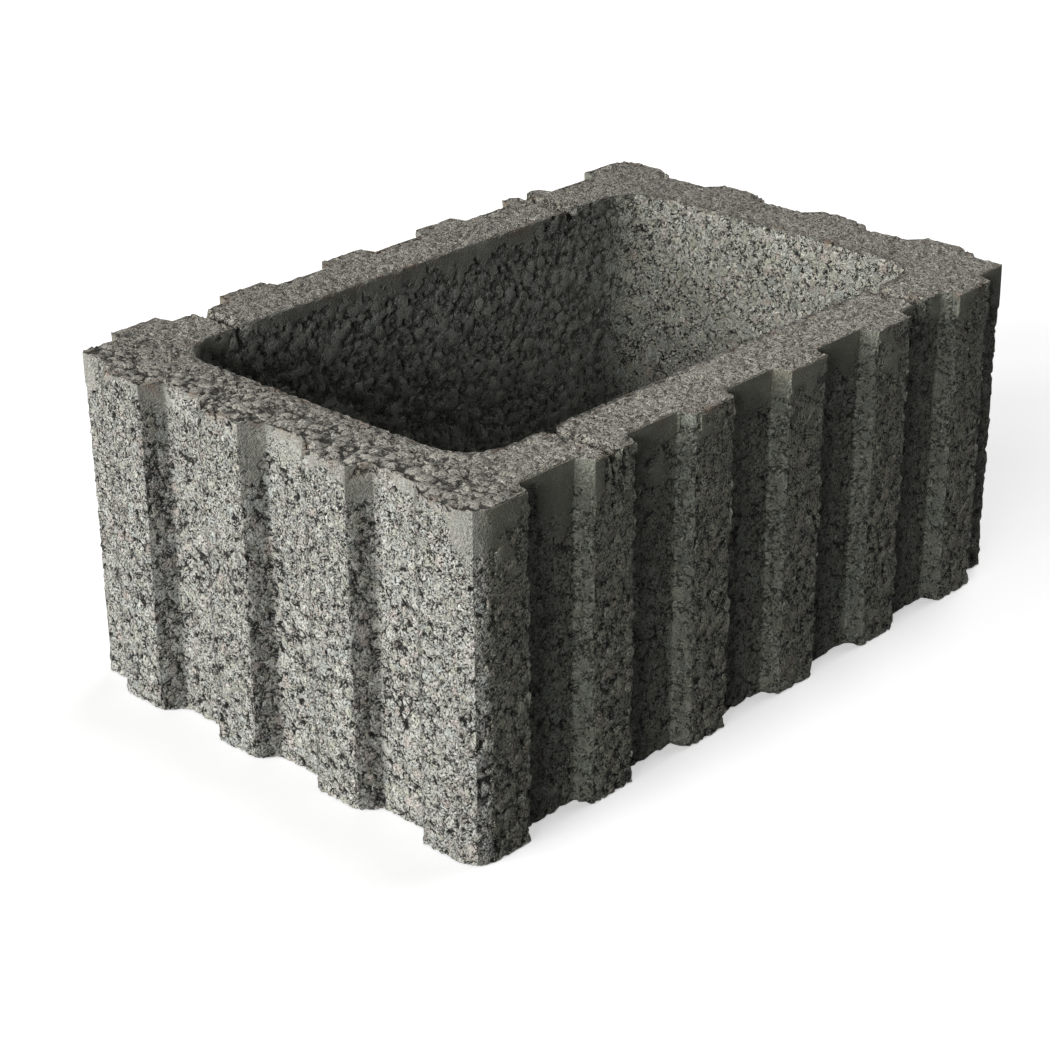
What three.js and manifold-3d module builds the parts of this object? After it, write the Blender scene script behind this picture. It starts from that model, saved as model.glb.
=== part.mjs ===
// Ribbed rectangular planter block of porous, vibropressed concrete.
//
// One casting: a straight-sided tube, open above and below, whose outer faces carry vertical ribs.
// Millimetres. X runs along the length, Y along the width, Z up from the base. The origin is the
// middle of the base. The outline is the same after half a turn about Z: two opposite corners end
// in a rib, and the other two end in a recess.
import * as THREE from 'three';
import { mergeVertices } from 'three/addons/utils/BufferGeometryUtils.js';
import Module from 'manifold-3d';

// Overall size, over the faces of the ribs.
const length = 600;
const width = 400;
const height = 250;

// Ribs: trapezoids in plan, at one pitch from each rib corner.
const ribPitch = 100;
const ribFace = 40;
const ribDepth = 13;
const longSideFlankRun = 5;
const shortSideFlankRun = 11;

// Rib corners: the corner rib is wider, and two facets take off its outer edge.
const cornerRibFace = 50;
const cornerFacetReach = 16;
const cornerFacetInset = 4.5;

// Recess corners: the shortest recess that may follow the last rib, and the bevel of its edge.
const endRecess = 50;
const recessCornerBevel = 2;

// Cavity: the wall behind the recess floors, the corner radius at the rim, and the draft that lets
// the core out upwards, as the growth of the wall from rim to base.
const wall = 45;
const cavityCornerRadius = 35;
const coreDraft = 3;

// Break marks, where the block can be split across: a V-shaped groove over the rim, which runs out
// at each face of the wall into a deeper notch that dies away below the rim.
const grooveDepth = 6;
const notchDepth = 8;
const notchHeight = 32;

// How far a cutting tool runs past the face that it cuts.
const overcut = 10;

const concreteColour = 0x8c8c85;

// Worked out from the sizes above.
const coverToCavity = ribDepth + wall;
const cavityLength = length - 2 * coverToCavity;
const cavityWidth = width - 2 * coverToCavity;

const ribCount = (side) => 1 + Math.floor((side - cornerRibFace - endRecess) / ribPitch + 1e-6);
const ribEnd = (index) => index * ribPitch + cornerRibFace;
const ribStart = (index) => ribEnd(index) - ribFace;
const ribCentre = (index) => (ribStart(index) + ribEnd(index)) / 2;
const recessCentre = (index) => (ribEnd(index) + ribStart(index + 1)) / 2;

// One side seen in plan, from its rib corner to the foot of its last rib: the distance along the
// side and the distance in from the rib faces.
function sideOutline(side, flankRun) {
  const points = [[cornerFacetReach, 0]];
  for (let index = 0; index < ribCount(side); index++) {
    if (index > 0) {
      points.push([ribStart(index) - flankRun, ribDepth], [ribStart(index), 0]);
    }
    points.push([ribEnd(index), 0], [ribEnd(index) + flankRun, ribDepth]);
  }
  return points;
}

// Half of the outline, counter-clockwise from the rib corner at the origin: its point, the long
// side, the bevelled recess corner, then the short side back up to the opposite rib corner.
function halfOutline() {
  const longSide = sideOutline(length, longSideFlankRun);
  const shortSide = sideOutline(width, shortSideFlankRun).reverse();
  return [
    [cornerFacetInset, cornerFacetInset],
    ...longSide,
    [length - ribDepth - recessCornerBevel, ribDepth],
    [length - ribDepth, ribDepth + recessCornerBevel],
    ...shortSide.map(([along, inward]) => [length - inward, width - along]),
  ];
}

function outerShape() {
  const half = halfOutline().map(([x, y]) => new THREE.Vector2(x - length / 2, y - width / 2));
  const turned = half.map((point) => point.clone().negate());
  return new THREE.Shape([...half, ...turned]);
}

function roundedRectangle(sizeX, sizeY, radius) {
  const x = sizeX / 2 - radius;
  const y = sizeY / 2 - radius;
  const shape = new THREE.Shape();
  shape.absarc(x, y, radius, 0, Math.PI / 2);
  shape.absarc(-x, y, radius, Math.PI / 2, Math.PI);
  shape.absarc(-x, -y, radius, Math.PI, 1.5 * Math.PI);
  shape.absarc(x, -y, radius, 1.5 * Math.PI, 2 * Math.PI);
  return shape;
}

// The core that leaves the cavity: widest at the rim, and narrower by the draft towards the base.
function core() {
  const shape = roundedRectangle(cavityLength, cavityWidth, cavityCornerRadius);
  const geometry = new THREE.ExtrudeGeometry(shape, {
    depth: height + 2 * overcut,
    bevelEnabled: false,
    curveSegments: 10,
  });
  geometry.translate(0, 0, -overcut);
  const position = geometry.getAttribute('position');
  for (let index = 0; index < position.count; index++) {
    const inset = (coreDraft * (height - position.getZ(index))) / height;
    position.setX(index, position.getX(index) * (1 - (2 * inset) / cavityLength));
    position.setY(index, position.getY(index) * (1 - (2 * inset) / cavityWidth));
  }
  return geometry;
}

// A four-sided bar on edge, whose lower half cuts the groove over the rim of the long wall.
function rimGroove(x, faceInset) {
  const run = coverToCavity - faceInset + 2 * overcut;
  const bar = new THREE.CylinderGeometry(grooveDepth, grooveDepth, run, 4);
  return bar.translate(x, (faceInset + coverToCavity) / 2 - width / 2, height);
}

// A four-sided point with its axis on a face of the wall, whose inner half cuts the notch there.
function faceNotch(x, inset) {
  const stretch = 1 + overcut / notchHeight;
  const point = new THREE.ConeGeometry(notchDepth * stretch, notchHeight * stretch, 4);
  point.rotateX(-Math.PI / 2);
  const middle = height - notchHeight + (notchHeight * stretch) / 2;
  return point.translate(x, inset - width / 2, middle);
}

// The break marks of one long wall: on the middle of its second rib, and in the middle of the
// recess before its last rib. The opposite wall has the same after half a turn.
function breakMarks() {
  const marks = [
    { along: ribCentre(1), faceInset: 0 },
    { along: recessCentre(ribCount(length) - 2), faceInset: ribDepth },
  ];
  const tools = [];
  for (const { along, faceInset } of marks) {
    const x = along - length / 2;
    tools.push(rimGroove(x, faceInset), faceNotch(x, faceInset), faceNotch(x, coverToCavity));
  }
  return [...tools, ...tools.map((tool) => tool.clone().rotateZ(Math.PI))];
}

const wasm = await Module();
wasm.setup();

function toSolid(geometry) {
  const bare = geometry.clone();
  bare.deleteAttribute('normal');
  bare.deleteAttribute('uv');
  const merged = mergeVertices(bare, 1e-4);
  return new wasm.Manifold(new wasm.Mesh({
    numProp: 3,
    vertProperties: new Float32Array(merged.getAttribute('position').array),
    triVerts: new Uint32Array(merged.getIndex().array),
  }));
}

function toGeometry(solid) {
  const mesh = solid.getMesh();
  const geometry = new THREE.BufferGeometry();
  geometry.setAttribute('position', new THREE.BufferAttribute(mesh.vertProperties, 3));
  geometry.setIndex(new THREE.BufferAttribute(mesh.triVerts, 1));
  geometry.computeVertexNormals();
  return geometry;
}

function planterGeometry() {
  const outside = new THREE.ExtrudeGeometry(outerShape(), { depth: height, bevelEnabled: false });
  let solid = toSolid(outside).subtract(toSolid(core()));
  for (const tool of breakMarks()) {
    solid = solid.subtract(toSolid(tool));
  }
  return toGeometry(solid);
}

const concrete = new THREE.MeshStandardMaterial({
  color: concreteColour,
  roughness: 0.95,
  metalness: 0,
  flatShading: true,
});

const planterBlock = new THREE.Mesh(planterGeometry(), concrete);
planterBlock.name = 'planter_block';

const group = new THREE.Group();
group.add(planterBlock);

export default group;
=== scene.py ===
"""Dresses the planter block: porous, vibropressed concrete, as one mesh that replaces the node."""
import math
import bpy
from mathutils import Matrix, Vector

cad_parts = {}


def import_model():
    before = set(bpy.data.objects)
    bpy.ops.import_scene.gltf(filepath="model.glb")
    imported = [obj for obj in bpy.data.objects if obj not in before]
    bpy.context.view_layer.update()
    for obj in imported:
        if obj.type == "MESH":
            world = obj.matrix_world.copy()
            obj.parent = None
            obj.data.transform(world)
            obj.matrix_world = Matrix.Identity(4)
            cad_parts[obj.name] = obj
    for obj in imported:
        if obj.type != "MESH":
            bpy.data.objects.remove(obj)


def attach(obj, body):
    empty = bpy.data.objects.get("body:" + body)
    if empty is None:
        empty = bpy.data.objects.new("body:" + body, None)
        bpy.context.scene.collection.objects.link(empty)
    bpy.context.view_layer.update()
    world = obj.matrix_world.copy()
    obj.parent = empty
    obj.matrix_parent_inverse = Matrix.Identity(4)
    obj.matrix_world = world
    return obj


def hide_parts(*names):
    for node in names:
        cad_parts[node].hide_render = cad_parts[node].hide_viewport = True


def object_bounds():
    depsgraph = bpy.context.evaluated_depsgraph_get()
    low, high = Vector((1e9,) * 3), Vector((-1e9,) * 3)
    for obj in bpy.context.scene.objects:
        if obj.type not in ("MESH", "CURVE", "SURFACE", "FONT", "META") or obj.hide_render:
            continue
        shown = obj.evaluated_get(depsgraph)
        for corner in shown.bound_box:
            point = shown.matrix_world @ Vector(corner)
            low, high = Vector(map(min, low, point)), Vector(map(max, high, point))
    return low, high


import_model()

from types import SimpleNamespace

import bmesh
import bpy
from mathutils import Matrix, Vector

CAD_BOX = [list(corner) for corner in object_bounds()]

NODE = "planter_block"
SLOT = "porous_concrete"

# The planter's own planes and places, in metres from its middle and from its base.
RIM = 0.25
RIB_FACE_X = 0.3
RIB_FACE_Y = 0.2
WALL_MIDDLE_X = 0.2645
WALL_MIDDLE_Y = 0.1645
SHORT_SIDE_SKIN = 0.2855
LONG_RIB_SKIN = 0.189
CORNER_RIB = 0.248
LONG_WALL = 0.13
RIB_PITCH = 0.1
FIRST_RIB_ARRIS = 0.05
BREAK_MARKS = (-0.17, 0.18)

# The fine mesh: its voxels in metres, its most triangles, the angle of an arris of the form, and
# the angle from which an edge of the mesh is drawn sharp.
VOXEL = 0.0015
TRIANGLES = 195000
ARRIS = math.radians(20)
SHARP = math.radians(28)

# Each size of stone: how many there are to the metre, and the least and largest radius, in cells.
LARGE = (105.0, 0.3, 0.85)
MIDDLE = (200.0, 0.5, 0.88)
FINE = (560.0, 0.45, 0.85)

# How much of a stone, in cells, is pressed flat; how far grains are bent, in metres; and the pull
# that makes them larger inside the cavity.
FLUSH = 0.1
BEND = 0.007
INNER_PULL = 0.88

# How much deeper the stones lie, in metres, where there are few of them, and by their own luck.
LARGE_SINK = 0.0025
MIDDLE_SINK = 0.0011
MIDDLE_LUCK = 0.0005

# How deep the sand lies between the stones of each part, in metres.
CLOSED_SAND = 0.0005
LONG_CREVICE_SAND = 0.0014
SHORT_CREVICE_SAND = 0.0018
INNER_SAND = 0.0007
FLANK_SAND = 0.0009
COARSE_RIM_SAND = (0.0011, 0.0022)
FINE_RIM_SAND = 0.0004
CRUMBLED_SAND = 0.0009
ARRIS_SAND = 0.0003

# The wear of the arrises: how far in from them it reaches, and its depth, with that of the chips.
WEAR_REACH = 0.0045
WEAR_DEPTH = 0.0024
CHIP_REACH = 0.010
CHIP_DEPTH = 0.0035

# The depth of the hollows, in metres, where the skin is closed and where it is open.
SHALLOWEST = 0.0012
DEEPEST = 0.0034

# How far the paste reaches below the rim, in metres: at its least and its most on the sides, and
# from the near end to the far end of the cavity. It reaches less far down the long sides' ribs, the
# flanks shift it, and its lower edge is frayed.
LONG_SIDE_PASTE = (0.010, 0.055)
SHORT_SIDE_PASTE = (-0.004, 0.022)
INNER_PASTE = (0.014, -0.02)
CORNER_PASTE = 0.029
LONG_RIB_LESS = 0.014
LONG_FLANK_SHIFT = -0.012
SHORT_FLANK_SHIFT = 0.018
PASTE_FRAY = 0.014

# How pale each part of the skin is, as a share of its stones' colours. These paint light and shade:
# the short faces, the long sides' ribs and flanks and the cavity's short walls are paler where
# light falls, and the recesses, the short sides' flanks and the cavity's long walls darker where
# shade falls.
LONG_RIB_TONE_AND_LIGHT = 1.25
LONG_RECESS_TONE_AND_SHADE = 0.92
LONG_FLANK_TONE_AND_LIGHT = 1.19
SHORT_FACE_TONE_AND_LIGHT = 1.39
SHORT_FLANK_TONE_AND_SHADE = 0.78
LONG_INNER_TONE_AND_SHADE = 1.0
SHORT_INNER_TONE_AND_LIGHT = 1.46
COARSE_RIM_TONE = 1.22
FINE_RIM_TONE = 1.04

# How strong the bump of each part is.
LONG_RIB_CARVED = 2.1
LONG_RECESS_CARVED = 1.5
INNER_CARVED = 2.2
SHORT_CARVED = 1.0
COARSE_RIM_CARVED = 1.6
FINE_RIM_CARVED = 1.05

# Colours of the skin, and the near-black of the shade painted into its hollows.
DARKEST_STONE = (0.48, 0.48, 0.437, 1)
PALEST_STONE = (0.80, 0.80, 0.752, 1)
SPECK = (0.30, 0.29, 0.26, 1)
WARM = (0.58, 0.46, 0.41, 1)
OLIVE = (0.50, 0.51, 0.37, 1)
BLUISH = (0.46, 0.54, 0.53, 1)
PASTE = (0.39, 0.39, 0.345, 1)
RIM_DUST = (0.72, 0.66, 0.60, 1)
STAIN = (0.34, 0.17, 0.10, 1)
HOLLOW_SHADE_COLOUR = (0.014, 0.014, 0.012, 1)

# How much of its own colour paste, dust and stain give the skin.
PASTE_SHARE = 0.7
DUST_SHARE = 0.45
STAIN_SHARE = 0.55

# The depths that the mesh lacks and only the bump and the painted shade of the hollows show, in
# metres, and what the stones' own relief is multiplied by.
PIT_DEPTH = 0.0023
SEAM_DEPTH = 0.0018
GRIT_DEPTH = 0.0046
STONE_BUMP = 1.8

# The camera: its lens in millimetres, its place in metres, and its turns in degrees, outer first.
LENS = 86.21
CAMERA_PLACE = (-1.2618, -1.1396, 0.8781)
CAMERA_TURNS = ((-46.992, "Z"), (64.717, "X"), (-0.431, "Z"))

# The floor, in metres, its greys as it is seen and as it lights the block, and the world's light.
FLOOR_HALF = 12.0
FLOOR_DROP = 0.0005
FLOOR_GLOW = 0.47
SEEN_FLOOR = 0.8
LIGHTING_FLOOR = 0.08
WORLD_FILL = 0.005

# Lamps: name, strength, width, angle from -X towards +Y, and height above the floor, in degrees.
LAMPS = (
    ("key", 2.22, 24, 6, 17),
    ("front", 1.18, 20, -19, 17),
    ("side", 1.1, 16, 30, 20),
    ("low", 1.7, 16, 50, 6),
    ("top", 1.32, 24, 180, 70),
    ("far", 0.45, 30, 165, 12),
)


# ---------------------------------------------------------------- node helpers
class Graph:
    """Adds nodes to a shader or geometry tree. An input may be a number, a tuple or a socket."""

    def __init__(self, tree):
        self.tree = tree

    def add(self, kind, **settings):
        node = self.tree.nodes.new(kind)
        for name, value in settings.items():
            setattr(node, name, value)
        return node

    def put(self, socket, value):
        if isinstance(value, bpy.types.NodeSocket):
            self.tree.links.new(value, socket)
        elif value is not None:
            socket.default_value = value

    def math(self, operation, a, b=None):
        node = self.add("ShaderNodeMath", operation=operation)
        for socket, value in zip(node.inputs, (a, b)):
            self.put(socket, value)
        return node.outputs[0]

    def plus(self, a, b):
        return self.math("ADD", a, b)

    def minus(self, a, b):
        return self.math("SUBTRACT", a, b)

    def times(self, a, b):
        return self.math("MULTIPLY", a, b)

    def most(self, a, b):
        return self.math("MAXIMUM", a, b)

    def less(self, a, b):
        return self.math("LESS_THAN", a, b)

    def more(self, a, b):
        return self.math("GREATER_THAN", a, b)

    def size(self, a):
        return self.math("ABSOLUTE", a)

    def off(self, mask):
        """1 where the mask is 0, and 0 where it is 1."""
        return self.minus(1.0, mask)

    def vector(self, operation, a, b=None, scale=None):
        node = self.add("ShaderNodeVectorMath", operation=operation)
        self.put(node.inputs[0], a)
        self.put(node.inputs[1], b)
        if scale is not None:
            self.put(node.inputs["Scale"], scale)
        return node.outputs["Value" if operation == "LENGTH" else 0]

    def split(self, vector):
        node = self.add("ShaderNodeSeparateXYZ")
        self.put(node.inputs[0], vector)
        return node.outputs[0], node.outputs[1], node.outputs[2]

    def join(self, x, y, z):
        node = self.add("ShaderNodeCombineXYZ")
        for socket, value in zip(node.inputs, (x, y, z)):
            self.put(socket, value)
        return node.outputs[0]

    def noise(self, vector, scale, detail=2.0, roughness=0.5, output=0):
        """The noise as a number, or as a vector where output is 1."""
        node = self.add("ShaderNodeTexNoise")
        self.put(node.inputs["Vector"], vector)
        node.inputs["Scale"].default_value = scale
        node.inputs["Detail"].default_value = detail
        node.inputs["Roughness"].default_value = roughness
        return node.outputs[output]

    def voronoi(self, vector, scale):
        node = self.add("ShaderNodeTexVoronoi")
        self.put(node.inputs["Vector"], vector)
        node.inputs["Scale"].default_value = scale
        return node

    def ramp(self, value, low, high, to_low=0.0, to_high=1.0, smooth=True):
        """Turns low to high into to_low to to_high, and holds those past the two ends."""
        kind = "SMOOTHSTEP" if smooth else "LINEAR"
        node = self.add("ShaderNodeMapRange", interpolation_type=kind)
        for socket, given in zip(node.inputs, (value, low, high, to_low, to_high)):
            self.put(socket, given)
        return node.outputs[0]

    def mix(self, mask, a, b):
        """a where the mask is 0, b where it is 1."""
        node = self.add("ShaderNodeMix", data_type="FLOAT")
        self.put(node.inputs[0], mask)
        self.put(node.inputs[2], a)
        self.put(node.inputs[3], b)
        return node.outputs[0]

    def tint(self, mask, a, b):
        """Colour a where the mask is 0, colour b where it is 1."""
        node = self.add("ShaderNodeMix", data_type="RGBA")
        self.put(node.inputs[0], mask)
        self.put(node.inputs[6], a)
        self.put(node.inputs[7], b)
        return node.outputs[2]


# ---------------------------------------------------------------- stones
def grain_place(graph, rest, inside):
    """The place in grain space: bent a little, so that no grain is a plain cell, and drawn in
    inside the cavity, where the grains are larger."""
    bend = graph.noise(rest, 260.0, output=1)
    bend = graph.vector("SUBTRACT", bend, (0.5, 0.5, 0.5))
    place = graph.vector("ADD", rest, graph.vector("SCALE", bend, scale=BEND))
    return graph.vector("SCALE", place, scale=graph.mix(inside, 1.0, INNER_PULL))


def stones(graph, place, per_metre, least, most):
    """The height of round stones pressed flush with the face, 0 or below, and their numbers."""
    cell = graph.voronoi(place, per_metre)
    luck, other, _ = graph.split(cell.outputs["Color"])
    radius = graph.ramp(luck, 0.0, 1.0, least, most, False)
    away = cell.outputs["Distance"]
    left = graph.minus(graph.times(radius, radius), graph.times(away, away))
    dome = graph.math("SQRT", graph.most(left, 0.0))
    height = graph.plus(graph.minus(dome, radius), FLUSH)
    height = graph.times(graph.math("MINIMUM", height, 0.0), 1.0 / per_metre)
    return height, luck, other


def large_stones(graph, place, coarse):
    """The large stones, which lie deeper where there are fewer of them."""
    height, luck, other = stones(graph, place, *LARGE)
    sink = graph.ramp(coarse, 0.0, 1.0, LARGE_SINK, 0.0, False)
    return graph.minus(height, sink), luck, other


def middle_stones(graph, place, coarse, level):
    """The middle stones, which lie deeper one by one, with the sand and where there are fewer."""
    height, luck, other = stones(graph, place, *MIDDLE)
    sink = graph.plus(graph.times(other, MIDDLE_LUCK), graph.times(level, 0.4))
    sink = graph.plus(sink, graph.ramp(coarse, 0.0, 1.0, MIDDLE_SINK, 0.0, False))
    return graph.minus(height, sink), luck, other


# ---------------------------------------------------------------- the skin at a place
def regions(graph, rest, normal):
    """Masks of the block's parts, 1 on the part, with the measures that they come from."""
    x, y, z = graph.split(rest)
    across, along, up = graph.split(normal)
    on = SimpleNamespace(x=x, y=y, far_x=graph.size(x), far_y=graph.size(y))
    on.across = graph.size(across)
    on.below_rim = graph.minus(RIM, z)
    on.rim = graph.ramp(up, 0.45, 0.75)
    on.wall = graph.off(on.rim)
    on.above_base = graph.ramp(up, -0.75, -0.45)
    on.by_cavity = graph.times(graph.less(on.far_x, WALL_MIDDLE_X),
                               graph.less(on.far_y, WALL_MIDDLE_Y))
    on.inside = graph.times(on.by_cavity, graph.less(up, 0.6))
    on.long_inside = graph.times(on.inside, graph.ramp(on.across, 0.3, 0.8, 1.0, 0.0))
    on.outside = graph.off(on.inside)
    on.short = graph.more(on.far_x, SHORT_SIDE_SKIN)
    on.corner = graph.times(graph.ramp(on.far_x, 0.276, 0.286),
                            graph.ramp(on.far_y, 0.172, 0.186))
    slant = graph.size(graph.times(across, along))
    slanted = graph.times(graph.ramp(slant, 0.22, 0.32), on.outside)
    on.flank = graph.times(slanted, graph.off(on.corner))
    on.long_flank = graph.times(on.flank, graph.off(on.short))
    on.flank_or_corner = graph.most(on.flank, on.corner)
    on.recess = graph.less(on.far_y, LONG_RIB_SKIN)
    on.long_rib = graph.times(graph.off(on.recess), graph.less(on.far_x, CORNER_RIB))
    return on


def noises(graph, rest, on):
    """The noises that the relief and the looks of the skin share."""
    openness = graph.ramp(graph.noise(rest, 60.0, 3.0, 0.6), 0.34, 0.66)
    fine_rim = graph.ramp(graph.plus(on.x, graph.times(openness, 0.05)), -0.26, -0.2)
    return SimpleNamespace(patch=graph.noise(rest, 22.0), fray=graph.noise(rest, 130.0, 3.0, 0.6),
                           crumb=graph.noise(rest, 190.0, 2.0, 0.6), openness=openness,
                           fine_rim=fine_rim)


def crumbled_skin(graph, on):
    """1 in the skin round the break marks, which are at the same places after half a turn."""
    turned_x = graph.times(on.x, graph.mix(graph.more(on.y, 0.0), 1.0, -1.0))
    crumbled = 0.0
    for mark in BREAK_MARKS:
        away = graph.size(graph.minus(turned_x, mark))
        crumbled = graph.most(crumbled, graph.ramp(away, 0.004, 0.018, 1.0, 0.0))
    crumbled = graph.times(crumbled, graph.more(on.far_y, LONG_WALL))
    return graph.times(crumbled, graph.ramp(on.below_rim, 0.02, 0.045, 1.0, 0.0))


def paste_band(graph, on, noise):
    """1 in a band of uneven depth under the rim, with a ragged lower edge."""
    depth = graph.mix(on.short, graph.ramp(noise.patch, 0.35, 0.68, *LONG_SIDE_PASTE),
                      graph.ramp(noise.patch, 0.35, 0.68, *SHORT_SIDE_PASTE))
    depth = graph.minus(depth, graph.times(on.long_rib, LONG_RIB_LESS))
    depth = graph.mix(on.corner, depth, CORNER_PASTE)
    shift = graph.mix(on.short, LONG_FLANK_SHIFT, SHORT_FLANK_SHIFT)
    depth = graph.plus(depth, graph.times(on.flank, shift))
    depth = graph.mix(on.inside, depth, graph.ramp(on.x, 0.12, 0.2, *INNER_PASTE))
    fray = graph.ramp(noise.fray, 0.3, 0.7, -PASTE_FRAY, PASTE_FRAY, False)
    below_band = graph.minus(graph.plus(on.below_rim, fray), depth)
    return graph.ramp(below_band, -PASTE_FRAY, PASTE_FRAY, 1.0, 0.0)


def coarseness(graph, on, noise, low, crumbled):
    """How many of the large stones there are, from 0 to 1."""
    coarse = graph.mix(on.inside, graph.ramp(noise.openness, 0.0, 1.0, 0.5, 1.0), 1.0)
    coarse = graph.most(coarse, on.flank)
    coarse = graph.most(coarse, graph.times(low, 0.9))
    coarse = graph.mix(on.rim, coarse, graph.mix(noise.fine_rim, 1.0, 0.3))
    return graph.most(coarse, graph.times(crumbled, 0.6))


def crevices(graph, on, noise, low):
    """1 in the crevices of the outer sides, which are more towards the base."""
    crevice = graph.plus(noise.crumb, graph.times(noise.openness, 0.05))
    crevice = graph.plus(crevice, graph.times(low, graph.mix(on.short, 0.06, 0.035)))
    return graph.ramp(crevice, 0.56, 0.68)


def sand_level(graph, on, noise, crevice, crumbled):
    """How deep the sand lies between the stones, before the arrises are worn."""
    in_crevice = graph.mix(on.short, LONG_CREVICE_SAND, SHORT_CREVICE_SAND)
    level = graph.mix(on.inside, graph.mix(crevice, CLOSED_SAND, in_crevice), INNER_SAND)
    level = graph.mix(on.flank, level, FLANK_SAND)
    holes = graph.ramp(noise.openness, 0.0, 1.0, *COARSE_RIM_SAND)
    level = graph.mix(on.rim, level, graph.mix(noise.fine_rim, holes, FINE_RIM_SAND))
    return graph.most(level, graph.times(crumbled, CRUMBLED_SAND))


def worn_arris(graph, on, band, arris):
    """How worn an arris is: most by the cavity, less outside, least at the block's corners."""
    worn = graph.off(graph.times(band, graph.mix(on.by_cavity, 0.9, 0.0)))
    worn = graph.times(worn, graph.ramp(arris, 0.0, WEAR_REACH, 1.0, 0.0))
    return graph.times(worn, graph.mix(on.corner, graph.mix(on.by_cavity, 0.6, 1.0), 0.2))


def hollow_floor(graph, on, paste, crevice, crumbled):
    """The floor of the hollows: deep where the concrete is open, and next to none in the paste."""
    ground = graph.most(crevice, graph.most(on.inside, graph.times(on.rim, 0.85)))
    ground = graph.most(ground, graph.most(graph.times(on.flank, 0.8), crumbled))
    ground = graph.mix(ground, SHALLOWEST, DEEPEST)
    floor = graph.mix(graph.ramp(paste, 0.1, 0.6), ground, graph.mix(on.short, 0.00005, 0.0003))
    floor = graph.mix(graph.times(paste, on.flank_or_corner), floor, 0.0)
    return graph.times(floor, on.above_base)


def chips(graph, rest, on):
    """The depth of the chips at the tops of the short sides' ribs, on the arris off the corner."""
    turned_y = graph.times(on.y, graph.times(graph.math("SIGN", on.x), -1.0))
    along = graph.plus(turned_y, RIB_FACE_Y - FIRST_RIB_ARRIS)
    along = graph.math("PINGPONG", along, 0.5 * RIB_PITCH)
    inward = graph.minus(RIB_FACE_X, on.far_x)
    away = graph.vector("LENGTH", graph.join(along, inward, on.below_rim))
    rough = graph.noise(rest, 170.0, 2.0, 0.6)
    away = graph.plus(away, graph.ramp(rough, 0.3, 0.7, -0.003, 0.003, False))
    return graph.ramp(away, 0.003, CHIP_REACH, CHIP_DEPTH, 0.0)


def pits(graph, on, noise, paste):
    """How pitted the skin is."""
    in_paste = graph.mix(on.short, 0.05, graph.ramp(noise.fray, 0.5, 0.64, 0.05, 0.6))
    in_paste = graph.times(in_paste, graph.off(on.flank_or_corner))
    pitted = graph.mix(paste, graph.ramp(noise.openness, 0.0, 0.6, 0.4, 0.95), in_paste)
    pitted = graph.mix(graph.most(on.inside, on.long_flank), pitted, 0.4)
    return graph.mix(on.rim, pitted, 0.9)


def seams(graph, on, noise, paste):
    """How much of the thin seams between the stones shows."""
    cracked = graph.times(graph.ramp(noise.openness, 0.0, 0.7, 0.35, 1.0), graph.off(paste))
    return graph.times(cracked, graph.mix(on.rim, graph.mix(on.flank, 1.0, 0.6), 0.4))


def tones_with_painted_light(graph, on, noise):
    """What the stones' colours are multiplied by: each part's paleness, which paints light and
    shade, a painted falloff of light from near to far, a painted olive cast of shade, and a
    paleness that differs at random.
    """
    tone_with_painted_light = graph.mix(on.flank, graph.mix(on.recess, LONG_RIB_TONE_AND_LIGHT, LONG_RECESS_TONE_AND_SHADE),
                     LONG_FLANK_TONE_AND_LIGHT)
    # Painted falloff of light: the long sides grow darker from the near end to the far one.
    tone_with_painted_light = graph.times(tone_with_painted_light, graph.ramp(on.x, -0.22, 0.26, 1.05, 0.91))
    # Painted light and shade: the short faces paler, and their flanks, which lie in shade, darker.
    tone_with_painted_light = graph.mix(on.short, tone_with_painted_light, graph.mix(on.flank, SHORT_FACE_TONE_AND_LIGHT, SHORT_FLANK_TONE_AND_SHADE))
    # Painted light and shade: the cavity's short walls paler, and its long walls, in shade, darker.
    inner = graph.ramp(on.across, 0.3, 0.8, LONG_INNER_TONE_AND_SHADE, SHORT_INNER_TONE_AND_LIGHT)
    tone_with_painted_light = graph.mix(on.inside, tone_with_painted_light, inner)
    # Painted falloff of light: the rim grows darker towards the back and towards the far end.
    painted_falloff = graph.times(graph.ramp(on.y, -0.1, 0.1, 1.03, 0.91),
                          graph.ramp(on.x, 0.1, 0.27, 1.0, 0.88))
    rim = graph.times(graph.mix(noise.fine_rim, COARSE_RIM_TONE, FINE_RIM_TONE), painted_falloff)
    tone_with_painted_light = graph.mix(on.rim, tone_with_painted_light, rim)
    tone_with_painted_light = graph.times(tone_with_painted_light, graph.ramp(noise.patch, 0.3, 0.7, 0.775, 0.892))
    # Painted colour of shade: the long outer sides, which lie in shade, get the strongest olive
    # cast, the other parts a weaker one.
    green = graph.mix(on.rim, graph.mix(graph.most(on.short, on.inside), 1.02, 1.0), 1.0)
    blue = graph.mix(on.rim, graph.mix(on.inside, graph.mix(on.short, 0.92, 0.985), 0.95), 0.955)
    return graph.join(tone_with_painted_light, graph.times(tone_with_painted_light, green), graph.times(tone_with_painted_light, blue))


def carving(graph, on, noise):
    """How strong the finest relief is."""
    side = graph.mix(on.recess, LONG_RIB_CARVED, LONG_RECESS_CARVED)
    carved = graph.mix(on.short, graph.mix(on.inside, side, INNER_CARVED), SHORT_CARVED)
    rim = graph.mix(noise.fine_rim, COARSE_RIM_CARVED, FINE_RIM_CARVED)
    return graph.mix(on.rim, carved, rim)


def mottling(graph, on, noise):
    """How much one stone differs from the next in colour."""
    mottled = graph.mix(on.long_inside, graph.mix(on.long_flank, 1.0, 0.6), 0.3)
    return graph.mix(on.rim, mottled, graph.mix(noise.fine_rim, 0.65, 0.9))


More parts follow.
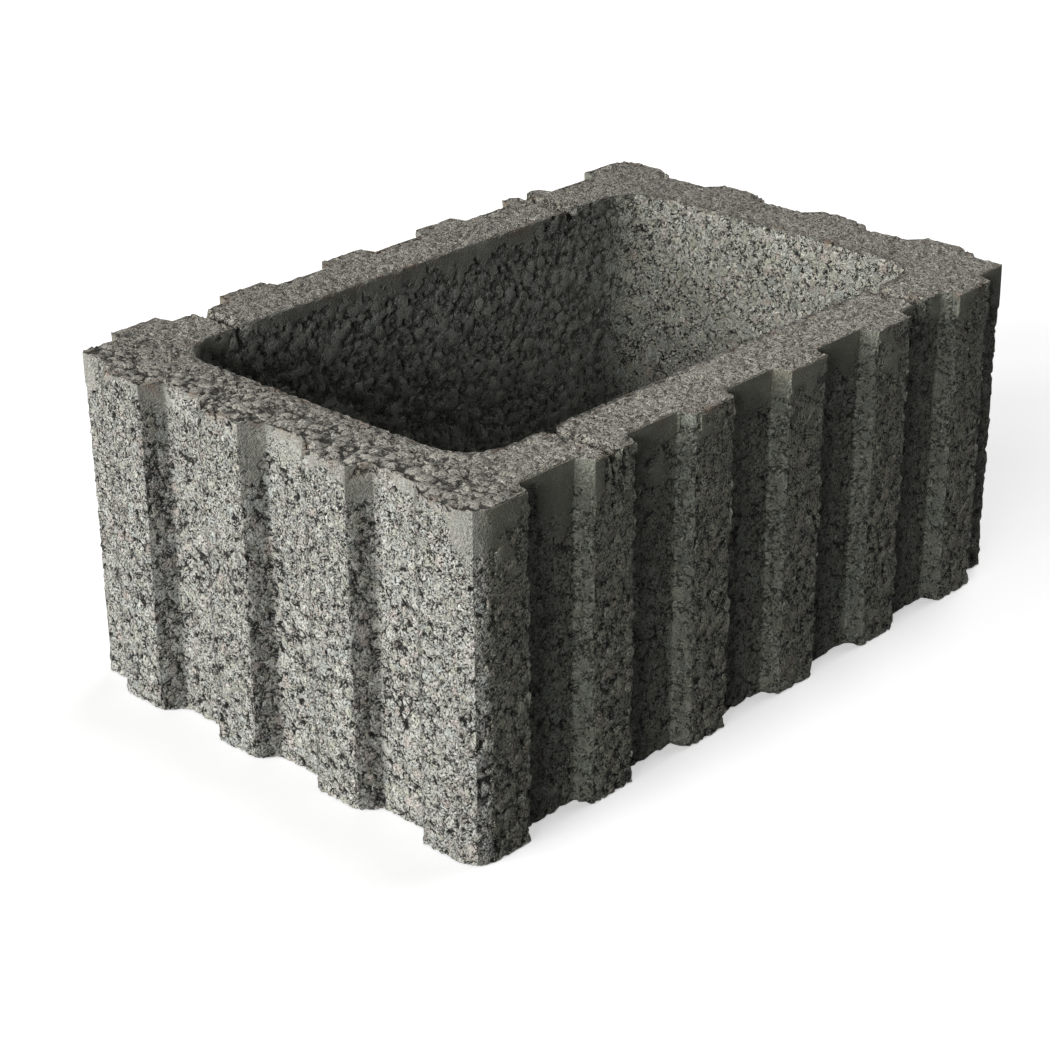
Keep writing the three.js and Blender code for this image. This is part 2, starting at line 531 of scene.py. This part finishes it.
def painted_hollow_shade_strength(graph, on):
    """How dark the painted shade in the hollows is."""
    outer = graph.mix(on.rim, graph.mix(on.long_flank, 0.97, 0.75), 0.85)
    return graph.mix(on.long_inside, outer, 0.65)


def stains(graph, rest, on, arris):
    """Rusty stains by the arrises, below the rim's own edge, and none on the corners' sides."""
    stain = graph.times(graph.ramp(graph.noise(rest, 75.0, 3.0, 0.65), 0.53, 0.62),
                        graph.ramp(arris, 0.001, 0.009, 1.0, 0.0))
    stain = graph.times(stain, graph.ramp(on.below_rim, 0.004, 0.009, 1.0, 0.0))
    return graph.times(stain, graph.off(graph.times(on.corner, on.wall)))


def skin(graph, rest, normal, arris):
    """What the surface is like at a place: what the material is told, and what only shapes it."""
    on = regions(graph, rest, normal)
    noise = noises(graph, rest, on)
    crumbled = crumbled_skin(graph, on)
    band = paste_band(graph, on, noise)
    paste = graph.times(graph.times(band, on.wall), graph.off(crumbled))
    low = graph.times(graph.ramp(on.below_rim, 0.04, 0.15), graph.mix(on.corner, 1.0, 0.4))
    crevice = crevices(graph, on, noise, low)
    worn = worn_arris(graph, on, band, arris)
    bitten = graph.times(worn, graph.ramp(noise.crumb, 0.46, 0.64, 0.0, WEAR_DEPTH))
    level = graph.plus(sand_level(graph, on, noise, crevice, crumbled),
                       graph.times(graph.times(worn, on.outside), ARRIS_SAND))
    told = {
        "paste": paste,
        "rim": on.rim,
        "coarse": coarseness(graph, on, noise, low, crumbled),
        "level": level,
        "fill": hollow_floor(graph, on, paste, crevice, crumbled),
        "pitted": pits(graph, on, noise, paste),
        "stain": stains(graph, rest, on, arris),
        "tone_with_painted_light": tones_with_painted_light(graph, on, noise),
        "carved": carving(graph, on, noise),
        "mottled": mottling(graph, on, noise),
        "painted_hollow_shade": painted_hollow_shade_strength(graph, on),
        "cracked": seams(graph, on, noise, paste),
    }
    return told, on.inside, graph.plus(bitten, chips(graph, rest, on))


# ---------------------------------------------------------------- the mesh
def settled(thing):
    """A plain mesh of the thing with its modifiers applied."""
    graph = bpy.context.evaluated_depsgraph_get()
    graph.update()
    return bpy.data.meshes.new_from_object(thing.evaluated_get(graph), depsgraph=graph)


def cast_form(name):
    """The CAD node's mesh with its corners joined, as a helper that is deleted later."""
    form = bmesh.new()
    form.from_mesh(bpy.data.objects[name].data)
    bmesh.ops.remove_doubles(form, verts=form.verts, dist=1e-6)
    proud = form.edges.layers.float.new("proud")
    for edge in form.edges:
        edge[proud] = edge.calc_face_angle_signed(0.0)
    mesh = bpy.data.meshes.new("cast_form")
    form.to_mesh(mesh)
    form.free()
    helper = bpy.data.objects.new("cast_form", mesh)
    bpy.context.collection.objects.link(helper)
    return helper


def nearest(graph, geometry, kind, place):
    """The nearest point of the geometry's faces, edges or points, and how far away it is."""
    node = graph.add("GeometryNodeProximity", target_element=kind)
    graph.put(node.inputs[0], geometry)
    graph.put(node.inputs["Sample Position"], place)
    return node.outputs["Position"], node.outputs["Distance"]


def choose(graph, test, a, b):
    """b where the test is 1, or else a."""
    node = graph.add("ShaderNodeMix", data_type="VECTOR")
    graph.put(node.inputs[0], test)
    graph.put(node.inputs[4], a)
    graph.put(node.inputs[5], b)
    return node.outputs[1]


def named(graph, name):
    """The value of an attribute that the geometry carries."""
    node = graph.add("GeometryNodeInputNamedAttribute", data_type="FLOAT")
    node.inputs["Name"].default_value = name
    return node.outputs[0]


def keep(graph, geometry, name, value, kind="FLOAT"):
    """The geometry with the value stored on it as an attribute."""
    node = graph.add("GeometryNodeStoreNamedAttribute", data_type=kind)
    graph.put(node.inputs["Geometry"], geometry)
    node.inputs["Name"].default_value = name
    graph.put(node.inputs["Value"], value)
    return node.outputs[0]


def moved(graph, geometry, place=None, offset=None):
    """The geometry with its points put at a place or moved by an offset."""
    node = graph.add("GeometryNodeSetPosition")
    graph.put(node.inputs["Geometry"], geometry)
    graph.put(node.inputs["Position"], place)
    graph.put(node.inputs["Offset"], offset)
    return node.outputs[0]


def new_tree(name):
    tree = bpy.data.node_groups.new(name, "GeometryNodeTree")
    for way in ("INPUT", "OUTPUT"):
        tree.interface.new_socket("Geometry", in_out=way, socket_type="NodeSocketGeometry")
    graph = Graph(tree)
    geometry = graph.add("NodeGroupInput").outputs[0]
    return tree, graph, geometry, graph.add("NodeGroupOutput").inputs[0]


def edges_over(graph, form, angle):
    """The form's edges, without its faces, where the angle is more than an arris needs."""
    node = graph.add("GeometryNodeDeleteGeometry", domain="EDGE", mode="EDGE_FACE")
    graph.put(node.inputs["Geometry"], form)
    graph.put(node.inputs["Selection"], graph.less(angle, ARRIS))
    return node.outputs[0]


def snapping_tree(helper):
    """Draws the fine mesh onto the cast form, with its arrises and corners kept sharp."""
    tree, graph, geometry, result = new_tree("onto_cast_form")
    source = graph.add("GeometryNodeObjectInfo", transform_space="RELATIVE")
    source.inputs["Object"].default_value = helper
    form = source.outputs["Geometry"]
    proud = named(graph, "proud")
    arrises = edges_over(graph, form, graph.size(proud))
    outer_arrises = edges_over(graph, form, proud)
    ends = graph.add("GeometryNodeInputMeshVertexNeighbors").outputs["Vertex Count"]
    corners = graph.add("GeometryNodeDeleteGeometry", domain="POINT", mode="ALL")
    graph.put(corners.inputs["Geometry"], arrises)
    graph.put(corners.inputs["Selection"], graph.less(ends, 2.5))
    place = graph.add("GeometryNodeInputPosition").outputs[0]
    on_face, _ = nearest(graph, form, "FACES", place)
    on_arris, arris_away = nearest(graph, arrises, "EDGES", place)
    on_corner, corner_away = nearest(graph, corners.outputs[0], "POINTS", place)
    found = choose(graph, graph.less(arris_away, 0.72 * VOXEL), on_face, on_arris)
    found = choose(graph, graph.less(corner_away, 0.85 * VOXEL), found, on_corner)
    _, outer_away = nearest(graph, outer_arrises, "EDGES", place)
    geometry = keep(graph, geometry, "arris", outer_away)
    geometry = moved(graph, geometry, place=found)
    merge = graph.add("GeometryNodeMergeByDistance")
    graph.put(merge.inputs["Geometry"], geometry)
    merge.inputs["Distance"].default_value = 0.12 * VOXEL
    graph.put(result, merge.outputs[0])
    return tree


def relief_tree():
    """Sinks the hollows between the larger stones, and keeps what the material needs to know."""
    tree, graph, geometry, result = new_tree("concrete_relief")
    rest = graph.add("GeometryNodeInputPosition").outputs[0]
    normal = graph.add("GeometryNodeInputNormal").outputs[0]
    told, inside, bitten = skin(graph, rest, normal, named(graph, "arris"))
    place = grain_place(graph, rest, inside)
    large, _, _ = large_stones(graph, place, told["coarse"])
    middle, _, _ = middle_stones(graph, place, told["coarse"], told["level"])
    height = graph.most(graph.most(large, middle), graph.times(told["fill"], -1.0))
    geometry = keep(graph, geometry, "place", place, "FLOAT_VECTOR")
    for name, value in told.items():
        kind = "FLOAT_VECTOR" if name == "tone_with_painted_light" else "FLOAT"
        geometry = keep(graph, geometry, name, value, kind)
    geometry = keep(graph, geometry, "sunk", graph.times(height, -1.0))
    offset = graph.vector("SCALE", normal, scale=graph.minus(height, bitten))
    graph.put(result, moved(graph, geometry, offset=offset))
    return tree


def drop_fins(mesh):
    """Merges away corners that only two edges meet in, and deletes single triangles that stand on
    the closed surface by two edges."""
    form = bmesh.new()
    form.from_mesh(mesh)
    needless = [vert for vert in form.verts if len(vert.link_edges) == 2]
    bmesh.ops.dissolve_verts(form, verts=needless)
    fins = [face for face in form.faces if any(edge.is_boundary for edge in face.edges)
            and any(len(edge.link_faces) > 2 for edge in face.edges)]
    bmesh.ops.delete(form, geom=fins, context="FACES")
    form.to_mesh(mesh)
    form.free()


def add_nodes(thing, tree):
    thing.modifiers.new(tree.name, "NODES").node_group = tree


def apply_modifiers(thing):
    thing.data = settled(thing)
    thing.modifiers.clear()


def cast_block(material):
    """The whole block as one closed mesh, inside the CAD box and under the limit of triangles."""
    helper = cast_form(NODE)
    block = bpy.data.objects.new("cast_block", helper.data.copy())
    bpy.context.collection.objects.link(block)
    voxels = block.modifiers.new("voxels", "REMESH")
    voxels.mode = "VOXEL"
    voxels.voxel_size = VOXEL
    add_nodes(block, snapping_tree(helper))
    add_nodes(block, relief_tree())
    apply_modifiers(block)
    triangles = sum(len(face.vertices) - 2 for face in block.data.polygons)
    if triangles > TRIANGLES:
        block.modifiers.new("fewer", "DECIMATE").ratio = TRIANGLES / triangles
        apply_modifiers(block)
    bpy.data.objects.remove(helper)
    drop_fins(block.data)
    for vertex in block.data.vertices:
        vertex.co = [min(max(at, low), high) for at, low, high in zip(vertex.co, *CAD_BOX)]
    block.data.materials.clear()
    block.data.materials.append(material)
    block.data.shade_smooth()
    block.data.set_sharp_from_angle(angle=SHARP)
    return block


# ---------------------------------------------------------------- the material
def empty_nodes(owner):
    """The node tree of a new material or world, with nothing in it."""
    owner.use_nodes = True
    owner.node_tree.nodes.clear()
    return Graph(owner.node_tree)


def told(graph, name, output="Fac"):
    """A value that the relief tree kept on the mesh."""
    return graph.add("ShaderNodeAttribute", attribute_name=name).outputs[output]


def higher(graph, a, b):
    """Of two layers of stones, the height of the higher one and its stone's numbers."""
    over = graph.more(a[0], b[0])
    return graph.most(a[0], b[0]), graph.mix(over, b[1], a[1]), graph.mix(over, b[2], a[2])


def stone_colour(graph, luck, other, grit):
    """The colour of a stone by its numbers, from dark to pale, with specks and four casts."""
    mottled = told(graph, "mottled")
    colour = graph.tint(graph.mix(mottled, 0.5, luck), DARKEST_STONE, PALEST_STONE)
    speck = graph.times(graph.ramp(grit, 0.38, 0.54, 0.0, 0.6), mottled)
    colour = graph.tint(speck, colour, SPECK)
    other = graph.mix(mottled, 0.35, other)
    warm = graph.times(graph.ramp(other, 0.76, 0.94), 0.4)
    colour = graph.tint(warm, colour, WARM)
    olive = graph.times(graph.ramp(other, 0.06, 0.24, 1.0, 0.0), 0.35)
    colour = graph.tint(olive, colour, OLIVE)
    bluish = graph.ramp(graph.size(graph.minus(other, 0.5)), 0.04, 0.12, 0.3, 0.0)
    return graph.tint(bluish, colour, BLUISH)


def seam_lines(graph, place):
    """1 along thin, broken lines between the stones."""
    line = graph.noise(place, 210.0, 2.0, 0.6)
    line = graph.ramp(graph.size(graph.minus(line, 0.5)), 0.008, 0.03, 1.0, 0.0)
    line = graph.times(line, graph.ramp(graph.noise(place, 150.0, 1.0), 0.44, 0.54))
    return graph.times(line, told(graph, "cracked"))


def concrete():
    """The concrete's material: its stones in their colours, with paste, stains, pits and seams, the
    shade painted into its hollows, and the light and shade painted into each part's paleness.
    """
    material = bpy.data.materials.new(SLOT)
    graph = empty_nodes(material)
    place = told(graph, "place", "Vector")
    level = told(graph, "level")
    coarse = told(graph, "coarse")
    grit = graph.noise(place, 600.0, 3.0, 0.75)
    fine, fine_luck, fine_other = stones(graph, place, *FINE)
    layers = higher(graph, large_stones(graph, place, coarse),
                    middle_stones(graph, place, coarse, level))
    height, luck, other = higher(graph, layers, (graph.minus(fine, level), fine_luck, fine_other))
    height = graph.most(height, graph.times(told(graph, "fill"), -1.0))
    pit = graph.times(graph.ramp(grit, 0.565, 0.6), told(graph, "pitted"))
    height = graph.minus(height, graph.times(pit, PIT_DEPTH))
    height = graph.minus(height, graph.times(seam_lines(graph, place), SEAM_DEPTH))

    colour = stone_colour(graph, luck, other, grit)
    colour = graph.tint(graph.times(told(graph, "paste"), PASTE_SHARE), colour, PASTE)
    colour = graph.tint(told(graph, "rim"), colour, graph.tint(DUST_SHARE, colour, RIM_DUST))
    colour = graph.tint(graph.times(told(graph, "stain"), STAIN_SHARE), colour, STAIN)
    # The paleness of each part paints light and shade into the colour.
    colour = graph.vector("MULTIPLY", colour, told(graph, "tone_with_painted_light", "Vector"))
    # Painted shade: the colour goes to near-black where the surface lies deep, in the pits, seams
    # and hollows between the stones.
    deep = graph.times(graph.ramp(height, -0.0009, -0.0018), told(graph, "painted_hollow_shade"))
    colour = graph.tint(deep, colour, HOLLOW_SHADE_COLOUR)

    relief = graph.times(graph.plus(height, told(graph, "sunk")), STONE_BUMP)
    relief = graph.minus(relief, graph.times(grit, GRIT_DEPTH))
    bump = graph.add("ShaderNodeBump")
    bump.inputs["Distance"].default_value = 1.0
    bump.inputs["Strength"].default_value = 1.0
    graph.put(bump.inputs["Height"], graph.times(relief, told(graph, "carved")))

    shader = graph.add("ShaderNodeBsdfPrincipled")
    graph.put(shader.inputs["Base Color"], colour)
    shader.inputs["Roughness"].default_value = 0.92
    shader.inputs["Specular IOR Level"].default_value = 0.25
    graph.put(shader.inputs["Normal"], bump.outputs[0])
    graph.put(graph.add("ShaderNodeOutputMaterial").inputs[0], shader.outputs[0])
    return material


# ---------------------------------------------------------------- camera, floor and light
def camera():
    """The camera at the photo's viewing angle."""
    data = bpy.data.cameras.new("camera")
    data.lens = LENS
    data.sensor_width = 36.0
    data.clip_end = 50.0
    thing = bpy.data.objects.new("camera", data)
    bpy.context.collection.objects.link(thing)
    turn = Matrix.Identity(4)
    for degrees, axis in CAMERA_TURNS:
        turn = turn @ Matrix.Rotation(math.radians(degrees), 4, axis)
    thing.matrix_world = Matrix.Translation(Vector(CAMERA_PLACE)) @ turn
    bpy.context.scene.camera = thing


def by_ray(graph, output, hidden, shown):
    """Shows one shader to the camera and in reflections. The other, which is hidden from them, is
    what the rays that light the object find."""
    path = graph.add("ShaderNodeLightPath")
    either = graph.most(path.outputs["Is Camera Ray"], path.outputs["Is Glossy Ray"])
    mixed = graph.add("ShaderNodeMixShader")
    graph.put(mixed.inputs[0], graph.most(either, path.outputs["Is Transmission Ray"]))
    graph.put(mixed.inputs[1], hidden)
    graph.put(mixed.inputs[2], shown)
    graph.put(graph.add(output).inputs[0], mixed.outputs[0])


def diffuse(graph, grey):
    """A matt surface of one grey."""
    node = graph.add("ShaderNodeBsdfDiffuse")
    node.inputs["Color"].default_value = (grey, grey, grey, 1)
    return node.outputs[0]


def background(graph, strength):
    """A white world of one strength."""
    node = graph.add("ShaderNodeBackground")
    node.inputs["Color"].default_value = (1, 1, 1, 1)
    node.inputs["Strength"].default_value = strength
    return node.outputs[0]


def floor():
    """A plain floor that looks white, keeps the block's shadow and throws little light back."""
    mesh = bpy.data.meshes.new("floor")
    half = FLOOR_HALF
    corners = [(-half, -half, 0), (half, -half, 0), (half, half, 0), (-half, half, 0)]
    mesh.from_pydata(corners, [], [(0, 1, 2, 3)])
    thing = bpy.data.objects.new("floor", mesh)
    bpy.context.collection.objects.link(thing)
    thing.location.z = -FLOOR_DROP
    material = bpy.data.materials.new("floor")
    graph = empty_nodes(material)
    glow = graph.add("ShaderNodeEmission")
    glow.inputs["Strength"].default_value = FLOOR_GLOW
    shown = graph.add("ShaderNodeAddShader")
    graph.put(shown.inputs[0], diffuse(graph, SEEN_FLOOR))
    graph.put(shown.inputs[1], glow.outputs[0])
    lighting = diffuse(graph, LIGHTING_FLOOR)
    by_ray(graph, "ShaderNodeOutputMaterial", lighting, shown.outputs[0])
    mesh.materials.append(material)


def world():
    """White to the camera, and next to no light on the block."""
    made = bpy.data.worlds.new("studio")
    bpy.context.scene.world = made
    graph = empty_nodes(made)
    by_ray(graph, "ShaderNodeOutputWorld", background(graph, WORLD_FILL), background(graph, 1.0))


def lamp(name, strength, width, turn, height):
    """A soft, far lamp, turned from -X towards +Y, at a height above the floor."""
    data = bpy.data.lights.new(name, "SUN")
    data.energy = strength
    data.angle = math.radians(width)
    thing = bpy.data.objects.new(name, data)
    bpy.context.collection.objects.link(thing)
    turn = math.radians(turn)
    towards = Vector((-math.cos(turn), math.sin(turn), math.tan(math.radians(height))))
    thing.rotation_euler = towards.to_track_quat("Z", "Y").to_euler()


bpy.context.scene.view_settings.view_transform = "Standard"
camera()
world()
floor()
for settings in LAMPS:
    lamp(*settings)
block = cast_block(concrete())
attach(block, "root")
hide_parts(NODE)
